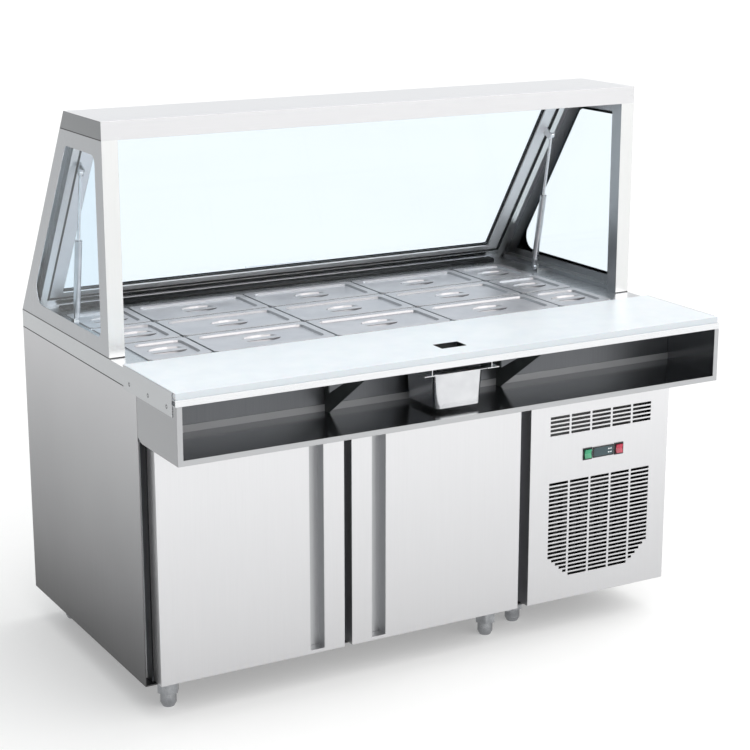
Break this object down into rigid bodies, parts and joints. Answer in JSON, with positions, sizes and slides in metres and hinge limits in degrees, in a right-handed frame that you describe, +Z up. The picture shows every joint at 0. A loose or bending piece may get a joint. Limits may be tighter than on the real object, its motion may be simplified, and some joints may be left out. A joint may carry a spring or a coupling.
{
  "type": "refrigerated preparation counter",
  "caption": "Stainless preparation counter with chilled cupboards, lidded food pans under a glass canopy, a front board over an open shelf, and levelling feet.",
  "frame": {"origin": "on the floor, at the middle of the overall length and depth", "axes": "+X towards the machine end, -Y towards the operator, +Z up"},
  "size_m": [1.5, 0.988, 1.403],
  "materials": {
    "brushed_steel_sheet": "brushed, satin",
    "bright_steel": "polished",
    "pan_steel": "pressed, semi bright",
    "dark_painted_steel": "satin dark grey",
    "foamed_body": "foam core behind a steel liner",
    "glass": "clear",
    "black_rubber": "matte",
    "white_board": "matte polyethylene",
    "black_plastic": "satin",
    "green_plastic": "gloss",
    "red_plastic": "gloss",
    "fan_plastic": "moulded",
    "coil_aluminium": "mill",
    "coated_shelf": "grey coated"
  },
  "bodies": {
    "cabinet": {"levelling_feet": "bright_steel", "base_tray": "brushed_steel_sheet", "side_panel_left": "brushed_steel_sheet", "side_panel_right": "brushed_steel_sheet", "back_panel": "brushed_steel_sheet", "insulated_body": "foamed_body", "front_frame": "brushed_steel_sheet", "worktop": "brushed_steel_sheet", "pan_bars": "pan_steel", "pans_column_1": "pan_steel", "pans_column_2": "pan_steel", "pans_column_3": "pan_steel", "pans_column_4": "pan_steel", "pans_column_5": "pan_steel", "door_hinges": "bright_steel", "machine_panel": "brushed_steel_sheet", "control_housings": "black_plastic", "condenser": "coil_aluminium", "compressor": "dark_painted_steel", "evaporator": "coil_aluminium", "canopy_side_left": "brushed_steel_sheet", "canopy_side_right": "brushed_steel_sheet", "canopy_top": "brushed_steel_sheet", "side_panes": "glass", "shelf_box": "brushed_steel_sheet", "board_frame": "brushed_steel_sheet", "shelf_braces": "dark_painted_steel", "scrap_runners": "bright_steel"},
    "door_left_body": {"door_left": "brushed_steel_sheet", "door_gasket_left": "black_rubber"},
    "door_right_body": {"door_right": "brushed_steel_sheet", "door_gasket_right": "black_rubber"},
    "hatch": {"hatch_frame": "brushed_steel_sheet", "hatch_pane": "glass", "hatch_gasket": "black_rubber"},
    "strut_tubes_body": {"strut_tubes": "dark_painted_steel"},
    "strut_rods_body": {"strut_rods": "bright_steel"},
    "board": {"cutting_board": "white_board"},
    "scrap_pan_body": {"scrap_pan": "bright_steel"},
    "shelf_left_body": {"shelf_left": "coated_shelf"},
    "shelf_right_body": {"shelf_right": "coated_shelf"},
    "green_rocker": {"switch_green": "green_plastic"},
    "red_rocker": {"switch_red": "red_plastic"},
    "condenser_rotor": {"condenser_fan": "fan_plastic"},
    "evaporator_rotor": {"evaporator_fan": "fan_plastic"},
    "lid_front_1_body": {"lid_front_1": "pan_steel"},
    "lid_front_2_body": {"lid_front_2": "pan_steel"},
    "lid_front_3_body": {"lid_front_3": "pan_steel"},
    "lid_front_4_body": {"lid_front_4": "pan_steel"},
    "lid_front_5_body": {"lid_front_5": "pan_steel"},
    "lid_middle_1_body": {"lid_middle_1": "pan_steel"},
    "lid_middle_2_body": {"lid_middle_2": "pan_steel"},
    "lid_middle_3_body": {"lid_middle_3": "pan_steel"},
    "lid_middle_4_body": {"lid_middle_4": "pan_steel"},
    "lid_middle_5_body": {"lid_middle_5": "pan_steel"},
    "lid_back_1_body": {"lid_back_1": "pan_steel"},
    "lid_back_2_body": {"lid_back_2": "pan_steel"},
    "lid_back_3_body": {"lid_back_3": "pan_steel"},
    "lid_back_4_body": {"lid_back_4": "pan_steel"},
    "lid_back_5_body": {"lid_back_5": "pan_steel"}
  },
  "joints": [
    {"name": "door_left_hinge", "type": "hinge", "parent": "cabinet", "child": "door_left_body", "pos_m": [-0.709, -0.2885, 0.3905], "axis": [0, 0, -1], "range_deg": [0, 100]},
    {"name": "door_right_hinge", "type": "hinge", "parent": "cabinet", "child": "door_right_body", "pos_m": [0.256, -0.2885, 0.3905], "axis": [0, 0, 1], "range_deg": [0, 100]},
    {"name": "hatch_hinge", "type": "hinge", "parent": "cabinet", "child": "hatch", "pos_m": [0, 0.16191, 1.35676], "axis": [1, 0, 0], "range_deg": [0, 60]},
    {"name": "strut_foot_pivot", "type": "hinge", "parent": "cabinet", "child": "strut_tubes_body", "pos_m": [0, 0.254, 0.86], "axis": [1, 0, 0], "range_deg": [-12.63, 0]},
    {"name": "strut_rod_slide", "type": "slide", "parent": "strut_tubes_body", "child": "strut_rods_body", "axis": [0, -0.181, 0.9835], "range_m": [0, 0.06966]},
    {"name": "lid_front_1_lift", "type": "slide", "parent": "cabinet", "child": "lid_front_1_body", "axis": [0, 0, 1], "range_m": [0, 0.06]},
    {"name": "lid_front_2_lift", "type": "slide", "parent": "cabinet", "child": "lid_front_2_body", "axis": [0, 0, 1], "range_m": [0, 0.06]},
    {"name": "lid_front_3_lift", "type": "slide", "parent": "cabinet", "child": "lid_front_3_body", "axis": [0, 0, 1], "range_m": [0, 0.06]},
    {"name": "lid_front_4_lift", "type": "slide", "parent": "cabinet", "child": "lid_front_4_body", "axis": [0, 0, 1], "range_m": [0, 0.06]},
    {"name": "lid_front_5_lift", "type": "slide", "parent": "cabinet", "child": "lid_front_5_body", "axis": [0, 0, 1], "range_m": [0, 0.06]},
    {"name": "lid_middle_1_lift", "type": "slide", "parent": "cabinet", "child": "lid_middle_1_body", "axis": [0, 0, 1], "range_m": [0, 0.06]},
    {"name": "lid_middle_2_lift", "type": "slide", "parent": "cabinet", "child": "lid_middle_2_body", "axis": [0, 0, 1], "range_m": [0, 0.06]},
    {"name": "lid_middle_3_lift", "type": "slide", "parent": "cabinet", "child": "lid_middle_3_body", "axis": [0, 0, 1], "range_m": [0, 0.06]},
    {"name": "lid_middle_4_lift", "type": "slide", "parent": "cabinet", "child": "lid_middle_4_body", "axis": [0, 0, 1], "range_m": [0, 0.06]},
    {"name": "lid_middle_5_lift", "type": "slide", "parent": "cabinet", "child": "lid_middle_5_body", "axis": [0, 0, 1], "range_m": [0, 0.06]},
    {"name": "lid_back_1_lift", "type": "slide", "parent": "cabinet", "child": "lid_back_1_body", "axis": [0, 0, 1], "range_m": [0, 0.06]},
    {"name": "lid_back_2_lift", "type": "slide", "parent": "cabinet", "child": "lid_back_2_body", "axis": [0, 0, 1], "range_m": [0, 0.06]},
    {"name": "lid_back_3_lift", "type": "slide", "parent": "cabinet", "child": "lid_back_3_body", "axis": [0, 0, 1], "range_m": [0, 0.06]},
    {"name": "lid_back_4_lift", "type": "slide", "parent": "cabinet", "child": "lid_back_4_body", "axis": [0, 0, 1], "range_m": [0, 0.06]},
    {"name": "lid_back_5_lift", "type": "slide", "parent": "cabinet", "child": "lid_back_5_body", "axis": [0, 0, 1], "range_m": [0, 0.06]},
    {"name": "board_lift", "type": "slide", "parent": "cabinet", "child": "board", "axis": [0, 0, 1], "range_m": [0, 0.06]},
    {"name": "scrap_pan_slide", "type": "slide", "parent": "cabinet", "child": "scrap_pan_body", "axis": [0, -1, 0], "range_m": [0, 0.16]},
    {"name": "shelf_left_lift", "type": "slide", "parent": "cabinet", "child": "shelf_left_body", "axis": [0, 0, 1], "range_m": [0, 0.05]},
    {"name": "shelf_right_lift", "type": "slide", "parent": "cabinet", "child": "shelf_right_body", "axis": [0, 0, 1], "range_m": [0, 0.05]},
    {"name": "green_rocker_pivot", "type": "hinge", "parent": "cabinet", "child": "green_rocker", "pos_m": [0.483, -0.309, 0.487], "axis": [1, 0, 0], "range_deg": [-8, 8]},
    {"name": "red_rocker_pivot", "type": "hinge", "parent": "cabinet", "child": "red_rocker", "pos_m": [0.583, -0.309, 0.487], "axis": [1, 0, 0], "range_deg": [-8, 8]},
    {"name": "condenser_fan_spin", "type": "hinge", "parent": "cabinet", "child": "condenser_rotor", "pos_m": [0.5235, -0.1627, 0.233], "axis": [0, -1, 0], "continuous": true},
    {"name": "evaporator_fan_spin", "type": "hinge", "parent": "cabinet", "child": "evaporator_rotor", "pos_m": [0.1775, 0.106, 0.615], "axis": [1, 0, 0], "continuous": true}
  ],
  "couplings": [
    {"joint": "strut_foot_pivot", "follows": "hatch_hinge", "ratio": -0.20638},
    {"joint": "strut_rod_slide", "follows": "hatch_hinge", "m_per_rad": 0.065219}
  ]
}
